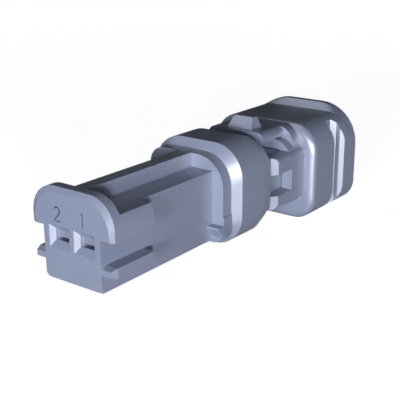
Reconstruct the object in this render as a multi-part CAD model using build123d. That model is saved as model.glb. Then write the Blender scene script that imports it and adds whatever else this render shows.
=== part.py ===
"""Two-way sealed connector housing: plug housing, latched rear cap and wire seal.

Millimetres. X runs across the two cavities, Y runs from the mating face back to the
wire end, Z is up. The origin is the middle of the mating face, on the axis that the
cavities, the collar and the neck share.
"""
import os

from build123d import *

# Cavities
pitch = 5.0              # between the two cavity axes
window_w = 4.06          # mouth of a lead-in in the mating face
window_h = 3.55
window_mid = 0.17        # its middle lies this far above the cavity axis
lead_in = 0.72           # depth of the four-sided funnel behind the mouth
inner_w = 2.72           # straight recess that the funnel leads to
inner_h = 1.75
inner_mid = 0.32
web_y = 1.14             # end of the recess, a web with a slot along its foot
blade_w = 2.3            # slot that the mating blade passes
blade_h = 0.45
tab_wall = 3.4           # from the mating face to the start of the terminal cavity
cavity_w = 3.3
cavity_h = 3.9
lance_l = 7.0            # locking lance in the floor of each cavity
lance_t = 0.7
lance_w = 2.0
lance_y = 14.0           # where the lance points its free end
lance_catch = 0.55       # how far its nose stands into the cavity

# Nose
nose_l = 26.6            # mating face to the step in front of the collar
nose_half_w = 5.65
nose_end_half_w = 5.45   # its drafted width at the step
nose_low = -6.7
nose_floor = 5.27        # the flat top on both sides of the centre rail
nose_edge = 0.3          # rounding along the two lower edges
nose_tip_l = 0.4         # its lower edges draw in over this length at the front
nose_tip_rise = 0.2
nose_tip_edge = 0.9
hood_l = 2.05
hood_half_w = 8.15
hood_low = 1.6           # underside of the hood and of the shoulders
hood_top = 7.85
hood_corner = 4.7
hood_bevel = 0.75        # slope round the front of the hood, across and along
hood_bevel_l = 0.42
shoulder_l = 8.8
left_shoulder_l = 6.6
rail_half_w = 1.22
rail_top = 7.7
key_l = 9.06             # key ribs low on both sides of the nose
key_out = 2.15
key_top = -2.4
key_h = 1.65
key_lead = 0.35          # the ribs draw in by this much at their front ends
key_lead_l = 1.1
lug_l = 1.5              # stop lugs beside the step
lug_out = 2.3
lug_top = -3.75
lug_lip = 0.35           # height of their upright fronts
lug_h = 2.15

# Collar
step_half = 7.6          # half its width, and its top
step_low = -7.0
step_corner = 5.2
step_left_corner = 2.9   # the upper left corner is tighter, so the front fits one way only
step_low_corner = 3.4
step_l = 2.3
foot_half_w = 7.8        # slightly wider lower part of the step
foot_top = -2.3
collar_half_w = 9.1
collar_top = 9.05
collar_low = -8.5
collar_corner = 5.7
collar_chamfer = 1.0     # length of the slope from the step out to the collar
collar_l = 9.5
collar_draft_l = 3.0     # part at its rear that draws in
collar_draft_w = 0.45
collar_draft_h = 0.95
collar_round = 0.6

# Neck that carries the cap and holds the seal
neck_half_w = 6.74
neck_half_h = 4.7
neck_edge = 1.3
ridge_out = 0.3          # snap ridges across its top and bottom, inside the cap
ridge_l = 1.0
ridge_half_w = 3.5
seal_pocket_l = 11.0     # open at the neck's rear end
seal_wall = 1.25

# Wire seal
seal_waist = 0.45        # how far the body lies inside its sealing ribs
seal_rib_l = 1.2
seal_ribs = 3
wire_d = 2.4             # insulation that the seal grips
grip_d = 2.0             # relaxed bore of the seal
grip_ribs = 3

# Rear cap
cap_gap = 1.5            # collar to the front end of the top finger
cap_stand_off = 10.35    # collar to the front face of the cap body
cap_l = 15.85
cap_half_w = 11.0
cap_top = 8.65
cap_low = -9.3
cap_corner = 5.0
cap_low_corner = 4.4
cap_front_round = 1.3
cap_fit = 0.12           # clearance all round the neck
lip_l = 3.0              # raised lip over the top at the rear end
lip_top = 9.83
lip_corner = 7.5
lip_ramp = 1.7           # length of its sloping front
groove_back = 5.2        # rear end of the cap to the clip groove across both sides
groove_w = 3.2
groove_floor = 8.58      # its floor, from the middle
groove_root = 0.9
groove_chamfer = 0.7
recess_l = 4.2           # open recess behind the wire holes
recess_wall = 2.0
wire_hole_d = 3.4
plate_t = 1.6            # wall that the wires pass, between recess and neck
presser_in = 0.6         # how far its boss stands into the neck to hold the seal
presser_fit = 0.25

# Sleeve and fingers of the cap
sleeve_l = 4.1
sleeve_half_w = 9.0
sleeve_half_h = 6.6
sleeve_corner = 4.4
side_gap = 0.5           # collar to the front ends of the side fingers
side_finger_half_h = 4.7
side_finger_round = 1.0
side_bevel = 0.9         # bevel at the outer front corners, across and along
side_bevel_l = 1.17
fork_top = 1.65          # slot that forks each side finger
fork_low = -2.2
top_finger_half_w = 5.9
top_finger_drop = 0.12   # its top lies this far below the top of the cap
top_finger_t = 1.5
top_finger_round = 1.45
root_half_w = 7.85       # wider foot of the top finger
root_l = 2.1
root_t = 3.4
root_corner = 3.4
thumb_back_off = 1.1     # finger's front end to the grip bump on it
thumb_half_w = 2.55      # at its foot
thumb_l = 3.25
thumb_h = 1.92
thumb_side = 0.6         # how far its sides, front and back draw in towards the top
thumb_front = 1.4
thumb_back = 0.55
thumb_round = 0.3

# Joints and cuts
overrun = 1.0            # how far a cut, or a form set into another, runs past the face it meets

# Places worked out from the sizes above
step_y = nose_l
slope_y = step_y + step_l
collar_y = slope_y + collar_chamfer
neck_y = collar_y + collar_l
finger_y = neck_y + cap_gap
side_finger_y = neck_y + side_gap
finger_top = cap_top - top_finger_drop
thumb_y = finger_y + thumb_back_off
cap_front = neck_y + cap_stand_off
cap_rear = cap_front + cap_l
sleeve_y = cap_front - sleeve_l
ridge_y = (sleeve_y + cap_front) / 2
groove_y = cap_rear - groove_back - groove_w
plate_y = cap_rear - recess_l
neck_end = plate_y - plate_t - cap_fit
presser_y = neck_end - presser_in
pocket_y = neck_end - seal_pocket_l
seal_l = presser_y - pocket_y
cavity_x = [-pitch / 2, pitch / 2]


def across(y):
    """A drawing plane across the connector at y, seen from the front."""
    return Plane(origin=(0, y, 0), x_dir=(1, 0, 0), z_dir=(0, -1, 0))


def bar(drawing, front, rear):
    """A drawing carried straight back from front to rear."""
    return extrude(across(front) * drawing, amount=-(rear - front))


def tapered(front_drawing, front, rear_drawing, rear):
    """A body that changes from one drawing to another."""
    return loft([across(front) * front_drawing, across(rear) * rear_drawing])


def outline(half_w, low, high, r_low, r_high):
    """A rounded section with one radius for its lower and one for its upper corners."""
    height = high - low
    r_low = min(r_low, 0.49 * min(2 * half_w, height))
    r_high = min(r_high, 0.98 * min(half_w, height - r_low))
    drawing = Pos(0, (low + high) / 2) * Rectangle(2 * half_w, height)
    if r_low > 0:
        drawing = fillet(drawing.vertices().sort_by(Axis.Y)[:2], r_low)
    if r_high > 0:
        drawing = fillet(drawing.vertices().sort_by(Axis.Y)[-2:], r_high)
    return drawing


def block(x0, x1, y0, y1, z0, z1):
    """A plain block between two corners."""
    return Pos((x0 + x1) / 2, (y0 + y1) / 2, (z0 + z1) / 2) * Box(x1 - x0, y1 - y0, z1 - z0)


def nose():
    """Body, hood with its shoulders, centre rail, keys and stop lugs."""
    tip = outline(nose_half_w, nose_low + nose_tip_rise, nose_floor, nose_tip_edge, 0)
    front = outline(nose_half_w, nose_low, nose_floor, nose_edge, 0)
    end = outline(nose_end_half_w, nose_low, nose_floor, nose_edge, 0)
    body = tapered(tip, 0, front, nose_tip_l) + tapered(front, nose_tip_l, end, slope_y)
    rail = block(-rail_half_w, rail_half_w, hood_l / 2, step_y + 0.5, nose_floor - 0.5, rail_top)
    return body + hood() + rail + keys() + lugs()


def hood():
    """Arched hood over the front with a bevelled rim, and the shoulders behind it."""
    face = outline(hood_half_w - hood_bevel, hood_low, hood_top - hood_bevel, 0, hood_corner)
    full = outline(hood_half_w, hood_low, hood_top, 0, hood_corner)
    arch = tapered(face, 0, full, hood_bevel_l) + bar(full, hood_bevel_l, hood_l)
    shoulders = bar(full, hood_l, shoulder_l)
    shoulders -= block(-hood_half_w, hood_half_w, 0, shoulder_l, nose_floor, hood_top)
    shoulders -= block(-hood_half_w, 0, left_shoulder_l, shoulder_l, hood_low, hood_top)
    return arch + shoulders


def key_section(inset):
    """The drawing of the right key, drawn in by an inset; it starts inside the nose."""
    root = nose_end_half_w - 0.5
    width = nose_half_w + key_out - inset - root
    return Pos(root + width / 2, key_top - key_h / 2) * Rectangle(width, key_h - 2 * inset)


def keys():
    """A coding key low on each side, tapered at the front to find its groove."""
    key = tapered(key_section(key_lead), 0, key_section(0), key_lead_l)
    key += bar(key_section(0), key_lead_l, key_l)
    return key + mirror(key, about=Plane.YZ)


def lugs():
    """Two wedges that stop the mating shroud in front of the step."""
    y = step_y - lug_l
    root = nose_end_half_w - 0.5
    side_view = Polyline((y, lug_top), (y, lug_top - lug_lip), (step_y, lug_top - lug_h),
                         (step_y + 0.5, lug_top - lug_h), (step_y + 0.5, lug_top), close=True)
    plane = Plane(origin=(root, 0, 0), x_dir=(0, 1, 0), z_dir=(1, 0, 0))
    lug = extrude(plane * make_face(side_view), amount=nose_half_w + lug_out - root)
    return lug + mirror(lug, about=Plane.YZ)


def step_outline():
    """Rounded section with a tighter upper left corner."""
    drawing = Pos(0, (step_half + step_low) / 2) * Rectangle(2 * step_half, step_half - step_low)
    drawing = fillet(drawing.vertices().group_by(Axis.Y)[-1].sort_by(Axis.X)[-1], step_corner)
    drawing = fillet(drawing.vertices().group_by(Axis.Y)[-1].sort_by(Axis.X)[0], step_left_corner)
    return fillet(drawing.vertices().group_by(Axis.Y)[0], step_low_corner)


def collar():
    """Step, slope and collar, which draws in towards its rounded rear edge."""
    full = outline(collar_half_w, collar_low, collar_top, collar_corner, collar_corner)
    end = outline(collar_half_w - collar_draft_w, collar_low + collar_draft_h,
                  collar_top - collar_draft_h, collar_corner, collar_corner)
    ring = bar(step_outline(), step_y, slope_y)
    ring += bar(outline(foot_half_w, step_low, foot_top, step_low_corner, 0), step_y, slope_y)
    ring += tapered(step_outline(), slope_y, full, collar_y)
    draft_y = neck_y - collar_draft_l
    draft = tapered(full, draft_y, end, neck_y)
    draft = fillet(draft.faces().sort_by(Axis.Y)[-1].outer_wire().edges(), collar_round)
    return ring + bar(full, collar_y, draft_y) + draft


def neck():
    """Flat-sided neck with a snap ridge across its top and bottom for the cap."""
    body = bar(RectangleRounded(2 * neck_half_w, 2 * neck_half_h, neck_edge), neck_y - overrun, neck_end)
    return body + snap_ridge(0)


def snap_ridge(gap):
    """The two snap ridges as one bar through the neck, larger all round by a gap."""
    high = neck_half_h + ridge_out + gap
    half_w = ridge_half_w + gap
    half_l = ridge_l / 2 + gap
    return block(-half_w, half_w, ridge_y - half_l, ridge_y + half_l, -high, high)


def cavity(x):
    """One terminal cavity: funnel, recess, blade slot, chamber and its locking lance."""
    mouth = Pos(x, window_mid) * Rectangle(window_w, window_h)
    inner = Pos(x, inner_mid) * Rectangle(inner_w, inner_h)
    slot = Pos(x, inner_mid - inner_h / 2 + blade_h / 2) * Rectangle(blade_w, blade_h)
    chamber = Pos(x, 0) * Rectangle(cavity_w, cavity_h)
    hollow = tapered(mouth, 0, inner, lead_in)
    hollow += bar(inner, lead_in, web_y)
    hollow += bar(slot, web_y, tab_wall + 0.5)
    hollow += bar(chamber, tab_wall, pocket_y + 0.5)
    return hollow - lance(x)


def lance(x):
    """A springy tongue, fixed at its rear end, with a nose that holds the terminal."""
    floor = -cavity_h / 2
    tip = lance_y
    side_view = Polyline((tip + lance_l, floor - 0.1), (tip + lance_l, floor + lance_t),
                         (tip + lance_catch, floor + lance_t + lance_catch),
                         (tip, floor + lance_t), (tip, floor + 0.3),
                         (tip + 0.8 * lance_l, floor + 0.3), (tip + 0.8 * lance_l, floor - 0.1),
                         close=True)
    face = make_face(side_view)
    return extrude(Plane(origin=(x - lance_w / 2, 0, 0), x_dir=(0, 1, 0), z_dir=(1, 0, 0)) * face,
                   amount=lance_w)


def seal_chamber(inset):
    """The drawing of the seal pocket, drawn in by an inset."""
    half_w = neck_half_w - seal_wall - inset
    half_h = neck_half_h - seal_wall - inset
    return RectangleRounded(2 * half_w, 2 * half_h, 0.85 * half_h)


def plug_housing():
    """The one-piece moulding that carries everything else."""
    body = nose() + collar() + neck()
    for x in cavity_x:
        body -= cavity(x)
    return body - bar(seal_chamber(0), pocket_y, neck_end)


def wire_seal():
    """Ribbed mat seal with one ribbed bore for each wire."""
    body = bar(seal_chamber(seal_waist), pocket_y, presser_y)
    rib_step = (seal_l - seal_rib_l) / (seal_ribs - 1)
    for i in range(seal_ribs):
        start = pocket_y + i * rib_step
        body += bar(seal_chamber(0), start, start + seal_rib_l)
    for x in cavity_x:
        body -= bar(Pos(x, 0) * Circle(wire_d / 2), pocket_y, presser_y)
        grip_step = seal_l / grip_ribs
        for i in range(grip_ribs):
            middle = pocket_y + (i + 0.5) * grip_step
            ring = Pos(x, 0) * (Circle(wire_d / 2) - Circle(grip_d / 2))
            body += bar(ring, middle - 0.4, middle + 0.4)
    return body


def cap_body():
    """The rounded shell of the cap, its raised lip and the clip groove across its sides."""
    section = outline(cap_half_w, cap_low, cap_top, cap_low_corner, cap_corner)
    lip_section = outline(cap_half_w, cap_low, lip_top, cap_low_corner, lip_corner)
    lip_y = cap_rear - lip_l
    shell = bar(section, cap_front, lip_y)
    shell = fillet(shell.faces().sort_by(Axis.Y)[0].outer_wire().edges(), cap_front_round)
    shell = shell - clip_groove(1) - clip_groove(-1)
    ramp = tapered(section, lip_y, lip_section, lip_y + lip_ramp)
    return shell + ramp + bar(lip_section, lip_y + lip_ramp, cap_rear)


def clip_groove(side):
    """Straight groove with a flat floor, a rounded root and a chamfered rear edge."""
    rear = groove_y + groove_w
    out = cap_half_w + overrun
    plan = Polyline((groove_floor, groove_y), (out, groove_y), (out, rear + groove_chamfer + overrun),
                    (cap_half_w, rear + groove_chamfer), (cap_half_w - groove_chamfer, rear),
                    (groove_floor + groove_root, rear), (groove_floor, rear - groove_root), close=True)
    height = cap_top - cap_low + 2 * overrun
    cutter = extrude(Plane.XY.offset(cap_low - overrun) * make_face(plan), amount=height)
    return cutter if side > 0 else mirror(cutter, about=Plane.YZ)


def sleeve():
    """The part of the cap that reaches forward round the neck."""
    drawing = outline(sleeve_half_w, -sleeve_half_h, sleeve_half_h, sleeve_corner, sleeve_corner)
    return bar(drawing, sleeve_y, cap_front + overrun)


def side_finger(side):
    """A forked finger along one side of the neck, bevelled at its outer front corner."""
    rear = cap_front + overrun
    inner = neck_half_w + cap_fit
    finger = block(inner, sleeve_half_w, side_finger_y, rear, -side_finger_half_h, side_finger_half_h)
    front_edge = finger.edges().filter_by(Axis.Z).group_by(Axis.Y)[0].sort_by(Axis.X)[-1]
    face = finger.faces().sort_by(Axis.Y)[0]
    finger = chamfer(front_edge, side_bevel, side_bevel_l, reference=face)
    finger = fillet(finger.edges().filter_by(Axis.Y).group_by(Axis.X)[-1], side_finger_round)
    finger -= block(inner - overrun, sleeve_half_w + overrun, side_finger_y - overrun, sleeve_y,
                    fork_low, fork_top)
    return finger if side > 0 else mirror(finger, about=Plane.YZ)


def top_finger():
    """The long finger over the neck, its wider foot and its grip bump."""
    rear = cap_front + overrun
    tongue = bar(outline(top_finger_half_w, finger_top - top_finger_t, finger_top, 0, top_finger_round),
                 finger_y, rear)
    foot = bar(outline(root_half_w, finger_top - root_t, finger_top, 0, root_corner),
               cap_front - root_l, rear)
    return tongue + foot + thumb_bump()


def thumb_bump():
    """A grip bump that draws in on all sides towards its rounded top."""
    foot = Pos(0, thumb_y + thumb_l / 2) * Rectangle(2 * thumb_half_w, thumb_l)
    top_l = thumb_l - thumb_front - thumb_back
    top = Pos(0, thumb_y + thumb_front + top_l / 2) * Rectangle(2 * (thumb_half_w - thumb_side), top_l)
    bump = loft([Plane.XY.offset(finger_top) * foot, Plane.XY.offset(finger_top + thumb_h) * top])
    return fillet(bump.faces().sort_by(Axis.Z)[-1].edges(), thumb_round)


def rear_cap():
    """Cap moulding: shell, sleeve and fingers, hollowed for the neck and the wires."""
    body = cap_body() + sleeve() + side_finger(1) + side_finger(-1)
    neck_room = RectangleRounded(2 * (neck_half_w + cap_fit), 2 * (neck_half_h + cap_fit), neck_edge)
    body -= bar(neck_room, side_finger_y - overrun, neck_end + cap_fit)
    body -= snap_ridge(cap_fit)
    body += bar(seal_chamber(presser_fit), presser_y, plate_y)
    body += top_finger()
    recess = outline(cap_half_w - recess_wall, cap_low + recess_wall, cap_top - recess_wall,
                     cap_low_corner - recess_wall, cap_corner - recess_wall)
    body -= bar(recess, plate_y, cap_rear + overrun)
    for x in cavity_x:
        body -= bar(Pos(x, 0) * Circle(wire_hole_d / 2), presser_y - overrun, plate_y)
    return body


parts = {
    "plug_housing": plug_housing,
    "rear_cap": rear_cap,
    "wire_seal": wire_seal,
}

os.makedirs("parts", exist_ok=True)
for name, make in parts.items():
    solid = make()
    solid.label = name
    export_step(solid, f"parts/{name}.step")
    print(name, "volume", round(solid.volume, 1), "solids", len(solid.solids()))
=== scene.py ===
"""Looks of the two-way sealed connector housing: materials, marks, light and camera."""
import math

import bpy
from mathutils import Matrix, Vector


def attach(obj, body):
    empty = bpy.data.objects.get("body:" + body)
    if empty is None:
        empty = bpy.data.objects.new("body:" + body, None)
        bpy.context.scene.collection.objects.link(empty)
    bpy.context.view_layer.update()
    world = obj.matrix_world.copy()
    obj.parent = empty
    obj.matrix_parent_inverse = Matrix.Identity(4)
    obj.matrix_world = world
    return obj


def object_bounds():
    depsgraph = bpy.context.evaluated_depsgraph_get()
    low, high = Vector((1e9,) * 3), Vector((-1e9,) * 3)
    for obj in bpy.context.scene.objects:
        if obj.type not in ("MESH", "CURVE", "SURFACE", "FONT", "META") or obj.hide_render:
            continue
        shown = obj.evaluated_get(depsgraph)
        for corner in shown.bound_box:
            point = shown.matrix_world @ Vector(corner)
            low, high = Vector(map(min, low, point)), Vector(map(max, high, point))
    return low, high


MM = 0.001

# Camera, from the photograph
CAM_POS = Vector((83.36, -79.25, 44.72)) * MM
CAM_BACK = Vector((0.5733, -0.7543, 0.3200))     # from the object to the camera
CAM_ROLL = -0.244        # degrees
CAM_LENS = 76.59         # mm
SENSOR = 36.0            # mm across
CAM_NEAR = 1 * MM        # what is nearer than this is not drawn

# Colours, linear
PLASTIC = (0.195, 0.230, 0.340)
PLASTIC_LIGHT = (0.213, 0.248, 0.364)
SEAL_GREY = (0.14, 0.15, 0.17)
MARK_DARK = (0.03, 0.035, 0.06)
MARK_LIGHT = (0.035, 0.04, 0.07)
PLAIN_WHITE = (1, 1, 1, 1)

# Finishes
SATIN = {"rough": 0.38, "spread": 0.04, "grain": 1.0, "bump": 0.30, "specular": 1.0, "coat": 0.5}
RUBBER = {"rough": 0.62, "spread": 0.04, "grain": 1.6, "bump": 0.60, "specular": 0.4}
MATT_MARK = {"rough": 0.55, "spread": 0.04, "grain": 1.0, "bump": 0.30, "specular": 0.4}
COAT_ROUGHNESS = 0.34
RELIEF_DEPTH = 0.02 * MM

# Patterns of the plastic: how many fit in a metre, and which part of the noise shows
GRAIN_SCALE = 5200
SINK_SCALE = 120
SINK_SHARE = 1.4         # height of the slow waves against the grain
FLOW_SCALE = 160
FLOW_STRETCH = (1.0, 0.25, 1.0)
FLOW_SPAN = (0.35, 0.70)
SPECK_SCALE = 2600
SPECK_SPAN = (0.62, 0.72)
SPECK_SHARE = 0.25       # how much of the lighter tone a speck takes
RUB_SCALE = 90
RUB_SPAN = (0.30, 0.70)

# Broken edges
EDGE_WIDTH = 0.09 * MM
EDGE_SEGMENTS = 2
EDGE_ANGLE = 40          # degrees; flatter joints stay as they are

# Cavity numbers on the mating face, mm (x, z)
TWO_BOWL = {"cx": -2.70, "cz": 4.28, "radius": 0.56, "start": 160, "end": -32}
TWO_FOOT = [(-3.30, 2.72), (-2.08, 2.72)]
TWO_WIDTH = 0.21
ONE = [(2.10, 4.60), (2.40, 4.95), (2.40, 2.80)]
ONE_WIDTH = 0.13
MARK_DEPTH = 0.02        # how far they stand proud
RING = 4                 # corners across a stroke

# Floor and surroundings
FLOOR_HALF = 0.6         # m
FLOOR_WHITE = (0.80, 0.80, 0.80)     # the floor's colour for the camera
FLOOR_BOUNCE = (0.16, 0.16, 0.17)    # and for the light that it throws on the object
FLOOR_GLOW = 0.83        # what the camera sees of the floor besides the lamps' light
FLOOR_SHEEN = 0.15       # what reflections and glass see of it
FLOOR_ROUGHNESS = 0.9
BACKDROP_WHITE = 1.0     # the surroundings for the camera
AROUND = 0.018           # and for the light that they throw on the object
MIDDLE = Vector((0, 33, 0)) * MM     # where the lamps point

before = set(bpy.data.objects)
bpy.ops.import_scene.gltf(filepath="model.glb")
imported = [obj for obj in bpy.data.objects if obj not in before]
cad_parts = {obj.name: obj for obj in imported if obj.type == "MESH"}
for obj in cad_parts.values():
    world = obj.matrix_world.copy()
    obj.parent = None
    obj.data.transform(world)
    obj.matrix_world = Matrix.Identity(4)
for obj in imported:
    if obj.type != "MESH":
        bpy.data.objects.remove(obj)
cad_box = [list(c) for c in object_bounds()]


def group(name, inputs, outputs):
    """An empty shader node group with its sockets."""
    tree = bpy.data.node_groups.new(name, "ShaderNodeTree")
    for label, kind, value in inputs:
        socket = tree.interface.new_socket(label, in_out="INPUT", socket_type=kind)
        socket.default_value = value
    for label, kind in outputs:
        tree.interface.new_socket(label, in_out="OUTPUT", socket_type=kind)
    return tree, tree.nodes.new("NodeGroupInput"), tree.nodes.new("NodeGroupOutput")


def object_coords(tree):
    """Coordinates that stay with the piece."""
    return tree.nodes.new("ShaderNodeTexCoord").outputs["Object"]


def noise(tree, coords, scale, detail, rough=0.5):
    """A noise texture on the given coordinates."""
    node = tree.nodes.new("ShaderNodeTexNoise")
    node.inputs["Scale"].default_value = scale
    node.inputs["Detail"].default_value = detail
    node.inputs["Roughness"].default_value = rough
    tree.links.new(coords, node.inputs["Vector"])
    return node.outputs["Fac"]


def remap(tree, value, source, target):
    """A value moved from one range to another and held there."""
    node = tree.nodes.new("ShaderNodeMapRange")
    node.inputs["From Min"].default_value = source[0]
    node.inputs["From Max"].default_value = source[1]
    node.inputs["To Min"].default_value = target[0]
    node.inputs["To Max"].default_value = target[1]
    tree.links.new(value, node.inputs["Value"])
    return node.outputs["Result"]


def maths(tree, kind, a, b):
    """One maths node; b may be a socket or a number."""
    node = tree.nodes.new("ShaderNodeMath")
    node.operation = kind
    tree.links.new(a, node.inputs[0])
    if isinstance(b, (int, float)):
        node.inputs[1].default_value = b
    else:
        tree.links.new(b, node.inputs[1])
    return node.outputs[0]


def moulded_skin():
    """Fine eroded grain of a mould and the slow waves where the plastic sank."""
    inputs = [("Grain", "NodeSocketFloat", 1.0)]
    outputs = [("Height", "NodeSocketFloat")]
    tree, inp, out = group("moulded_skin", inputs, outputs)
    coords = object_coords(tree)
    fine = noise(tree, coords, GRAIN_SCALE, detail=3, rough=0.6)
    sink = noise(tree, coords, SINK_SCALE, detail=1)
    grain = maths(tree, "MULTIPLY", fine, inp.outputs["Grain"])
    waves = maths(tree, "MULTIPLY", sink, SINK_SHARE)
    total = maths(tree, "ADD", grain, waves)
    tree.links.new(total, out.inputs["Height"])
    return tree


def tone_drift():
    """Colour that drifts a little along the flow of the plastic, with faint specks."""
    inputs = [
        ("Base", "NodeSocketColor", (0.1, 0.1, 0.1, 1)),
        ("Light", "NodeSocketColor", (0.1, 0.1, 0.1, 1)),
    ]
    outputs = [("Color", "NodeSocketColor")]
    tree, inp, out = group("tone_drift", inputs, outputs)
    coords = object_coords(tree)
    stretch = tree.nodes.new("ShaderNodeMapping")
    stretch.inputs["Scale"].default_value = FLOW_STRETCH
    tree.links.new(coords, stretch.inputs["Vector"])
    streaks = noise(tree, stretch.outputs["Vector"], FLOW_SCALE, detail=4, rough=0.6)
    flow = remap(tree, streaks, FLOW_SPAN, (0.0, 1.0))
    dots = noise(tree, coords, SPECK_SCALE, detail=2)
    specks = remap(tree, dots, SPECK_SPAN, (0.0, SPECK_SHARE))
    mix = tree.nodes.new("ShaderNodeMix")
    mix.data_type = "RGBA"
    tree.links.new(maths(tree, "ADD", flow, specks), mix.inputs["Factor"])
    tree.links.new(inp.outputs["Base"], mix.inputs["A"])
    tree.links.new(inp.outputs["Light"], mix.inputs["B"])
    tree.links.new(mix.outputs["Result"], out.inputs["Color"])
    return tree


def handling():
    """Roughness with slightly smoother patches where fingers and the shroud rub."""
    inputs = [
        ("Base", "NodeSocketFloat", 0.4),
        ("Spread", "NodeSocketFloat", 0.06),
    ]
    outputs = [("Roughness", "NodeSocketFloat")]
    tree, inp, out = group("handling", inputs, outputs)
    clouds = noise(tree, object_coords(tree), RUB_SCALE, detail=5, rough=0.65)
    patches = remap(tree, clouds, RUB_SPAN, (-1.0, 1.0))
    change = maths(tree, "MULTIPLY", patches, inp.outputs["Spread"])
    total = maths(tree, "ADD", change, inp.outputs["Base"])
    tree.links.new(total, out.inputs["Roughness"])
    return tree


SKIN = moulded_skin()
DRIFT = tone_drift()
RUB = handling()


def use(tree, shared, **values):
    """A shared node group placed in a material, with its inputs set."""
    node = tree.nodes.new("ShaderNodeGroup")
    node.node_tree = shared
    for label, value in values.items():
        node.inputs[label].default_value = value
    return node


def moulded(name, base, light, rough, spread, grain, bump, specular, coat=0.0):
    """A moulded material built from the shared groups."""
    mat = bpy.data.materials.new(name)
    mat.use_nodes = True
    tree = mat.node_tree
    shader = tree.nodes["Principled BSDF"]
    colour = use(tree, DRIFT, Base=(*base, 1), Light=(*light, 1))
    roughness = use(tree, RUB, Base=rough, Spread=spread)
    skin = use(tree, SKIN, Grain=grain)
    relief = tree.nodes.new("ShaderNodeBump")
    relief.inputs["Strength"].default_value = bump
    relief.inputs["Distance"].default_value = RELIEF_DEPTH
    tree.links.new(skin.outputs["Height"], relief.inputs["Height"])
    tree.links.new(relief.outputs["Normal"], shader.inputs["Normal"])
    tree.links.new(colour.outputs["Color"], shader.inputs["Base Color"])
    tree.links.new(roughness.outputs["Roughness"], shader.inputs["Roughness"])
    shader.inputs["Specular IOR Level"].default_value = specular
    shader.inputs["Coat Weight"].default_value = coat
    shader.inputs["Coat Roughness"].default_value = COAT_ROUGHNESS
    mat.diffuse_color = (*base, 1)
    return mat


MATS = {
    "housing": moulded("housing_plastic", PLASTIC, PLASTIC_LIGHT, **SATIN),
    "cap": moulded("cap_plastic", PLASTIC, PLASTIC_LIGHT, **SATIN),
    "seal": moulded("seal_rubber", SEAL_GREY, SEAL_GREY, **RUBBER),
    "mark": moulded("dark_mark", MARK_DARK, MARK_LIGHT, **MATT_MARK),
}


def dress(node, mat):
    """Gives a CAD node its material and slightly broken edges."""
    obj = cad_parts[node]
    if not obj.material_slots:
        obj.data.materials.append(mat)
    for slot in obj.material_slots:
        slot.material = mat
    bevel = obj.modifiers.new("broken_edges", "BEVEL")
    bevel.width = EDGE_WIDTH
    bevel.segments = EDGE_SEGMENTS
    bevel.limit_method = "ANGLE"
    bevel.angle_limit = math.radians(EDGE_ANGLE)
    bevel.harden_normals = True


dress("plug_housing", MATS["housing"])
dress("rear_cap", MATS["cap"])
dress("wire_seal", MATS["seal"])


def stroke_corners(points, width):
    """Rings of four corners along a polyline in mm (x, z): two on the face and two raised."""
    middle = [Vector((x, 0, z)) for x, z in points]
    last = len(middle) - 1
    raised = Vector((0, -MARK_DEPTH, 0))
    corners = []
    for i, p in enumerate(middle):
        ahead = middle[min(i + 1, last)] - middle[max(i - 1, 0)]
        side = Vector((-ahead.z, 0, ahead.x)).normalized() * width / 2
        ring = [p + side, p - side, p - side + raised, p + side + raised]
        corners.extend(corner * MM for corner in ring)
    return corners


def stroke_faces(rings):
    """Walls between the rings and a cap on each end, all facing outwards."""
    end = RING * (rings - 1)
    faces = [(0, 1, 2, 3), (end + 3, end + 2, end + 1, end)]
    for a in range(0, end, RING):
        b = a + RING
        for k in range(RING):
            n = (k + 1) % RING
            faces.append((a + n, a + k, b + k, b + n))
    return faces


def stroke_piece(name, points, width):
    """A thin flat stroke on the mating face."""
    mesh = bpy.data.meshes.new(name)
    mesh.from_pydata(stroke_corners(points, width), [], stroke_faces(len(points)))
    mesh.materials.append(MATS["mark"])
    obj = bpy.data.objects.new(name, mesh)
    bpy.context.scene.collection.objects.link(obj)
    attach(obj, "root")


def arc(cx, cz, radius, start, end, steps=10):
    """Points on an arc; angles in degrees from +X towards +Z."""
    angles = [math.radians(start + (end - start) * i / steps) for i in range(steps + 1)]
    return [(cx + radius * math.cos(a), cz + radius * math.sin(a)) for a in angles]


def cavity_marks():
    """The cavity numbers above the windows."""
    stroke_piece("cavity_mark_2", arc(**TWO_BOWL) + TWO_FOOT, TWO_WIDTH)
    stroke_piece("cavity_mark_1", ONE, ONE_WIDTH)


cavity_marks()


def seen(tree, by_camera, by_gloss):
    """One strength for the camera and one for reflections and glass; matt bounces get none."""
    path = tree.nodes.new("ShaderNodeLightPath")
    gloss = maths(tree, "MAXIMUM", path.outputs["Is Glossy Ray"], path.outputs["Is Transmission Ray"])
    direct = maths(tree, "MULTIPLY", path.outputs["Is Camera Ray"], by_camera)
    reflected = maths(tree, "MULTIPLY", gloss, by_gloss)
    return maths(tree, "ADD", direct, reflected)


def floor_material():
    """Pale matt floor that reads near white and keeps a light shadow."""
    mat = bpy.data.materials.new("studio_floor")
    mat.use_nodes = True
    tree = mat.node_tree
    shader = tree.nodes["Principled BSDF"]
    paint = tree.nodes.new("ShaderNodeMix")
    paint.data_type = "RGBA"
    paint.inputs["A"].default_value = (*FLOOR_BOUNCE, 1)
    paint.inputs["B"].default_value = (*FLOOR_WHITE, 1)
    path = tree.nodes.new("ShaderNodeLightPath")
    tree.links.new(path.outputs["Is Camera Ray"], paint.inputs["Factor"])
    tree.links.new(paint.outputs["Result"], shader.inputs["Base Color"])
    shader.inputs["Roughness"].default_value = FLOOR_ROUGHNESS
    shader.inputs["Specular IOR Level"].default_value = 0.0
    shader.inputs["Emission Color"].default_value = PLAIN_WHITE
    glow = seen(tree, FLOOR_GLOW, FLOOR_SHEEN)
    tree.links.new(glow, shader.inputs["Emission Strength"])
    return mat


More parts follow.
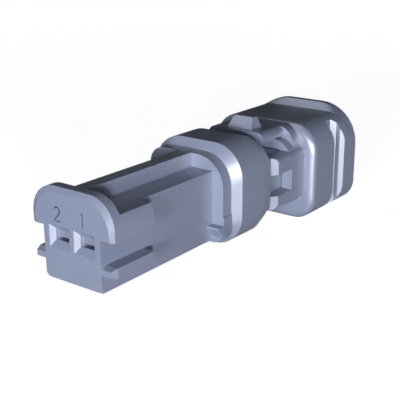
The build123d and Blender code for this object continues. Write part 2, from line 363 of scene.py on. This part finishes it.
def floor():
    """A flat floor that touches the underside of the object."""
    low = cad_box[0][2]
    corners = [(-FLOOR_HALF, -FLOOR_HALF), (FLOOR_HALF, -FLOOR_HALF),
               (FLOOR_HALF, FLOOR_HALF), (-FLOOR_HALF, FLOOR_HALF)]
    mesh = bpy.data.meshes.new("floor")
    mesh.from_pydata([(x, y, low) for x, y in corners], [], [(0, 1, 2, 3)])
    mesh.materials.append(floor_material())
    obj = bpy.data.objects.new("floor", mesh)
    bpy.context.scene.collection.objects.link(obj)


def surroundings():
    """White for the camera and a low even light for the object."""
    world = bpy.data.worlds.new("studio")
    bpy.context.scene.world = world
    world.use_nodes = True
    tree = world.node_tree
    back = tree.nodes["Background"]
    path = tree.nodes.new("ShaderNodeLightPath")
    level = remap(tree, path.outputs["Is Camera Ray"], (0.0, 1.0), (AROUND, BACKDROP_WHITE))
    tree.links.new(level, back.inputs["Strength"])
    back.inputs["Color"].default_value = PLAIN_WHITE


def area_light(name, azimuth, elevation, distance, size, power):
    """A soft round panel that looks at the middle of the object; azimuth 0 is in front."""
    a = math.radians(azimuth)
    e = math.radians(elevation)
    way = Vector((math.sin(a) * math.cos(e), -math.cos(a) * math.cos(e), math.sin(e)))
    lamp = bpy.data.lights.new(name, "AREA")
    lamp.shape = "DISK"
    lamp.size = size
    lamp.energy = power
    obj = bpy.data.objects.new(name, lamp)
    obj.location = MIDDLE + way * distance
    obj.rotation_euler = way.to_track_quat("Z", "Y").to_euler()
    bpy.context.scene.collection.objects.link(obj)
    return obj


def lamps():
    """Two lamps for the body of the light, two for gloss alone and two matt fills."""
    area_light("key", azimuth=18, elevation=3, distance=1.0, size=0.25, power=8.2)
    area_light("low", azimuth=44, elevation=2, distance=0.3, size=0.05, power=0.74)
    edge = area_light("edge_light", azimuth=57, elevation=2, distance=0.45, size=0.08, power=4.0)
    top = area_light("top_panel", azimuth=-80, elevation=68, distance=1.0, size=1.3, power=3.6)
    left = area_light("left_fill", azimuth=278, elevation=1, distance=1.0, size=0.6, power=7.5)
    back = area_light("back_fill", azimuth=172, elevation=1, distance=1.0, size=0.6, power=7.5)
    for gloss_only in (edge, top):
        gloss_only.visible_diffuse = False
    for matt_only in (left, back):
        matt_only.visible_glossy = False


def camera():
    """The photograph's camera."""
    back = CAM_BACK.normalized()
    level_right = Vector((-back.y, back.x, 0)).normalized()
    level_up = back.cross(level_right)
    turn = math.radians(CAM_ROLL)
    right = math.cos(turn) * level_right + math.sin(turn) * level_up
    up = -math.sin(turn) * level_right + math.cos(turn) * level_up
    pose = Matrix((right, up, back)).transposed().to_4x4()
    pose.translation = CAM_POS
    data = bpy.data.cameras.new("photo_camera")
    data.lens = CAM_LENS
    data.sensor_width = SENSOR
    data.clip_start = CAM_NEAR
    obj = bpy.data.objects.new("photo_camera", data)
    obj.matrix_world = pose
    bpy.context.scene.collection.objects.link(obj)
    bpy.context.scene.camera = obj


floor()
surroundings()
lamps()
camera()
bpy.context.scene.view_settings.view_transform = "Standard"
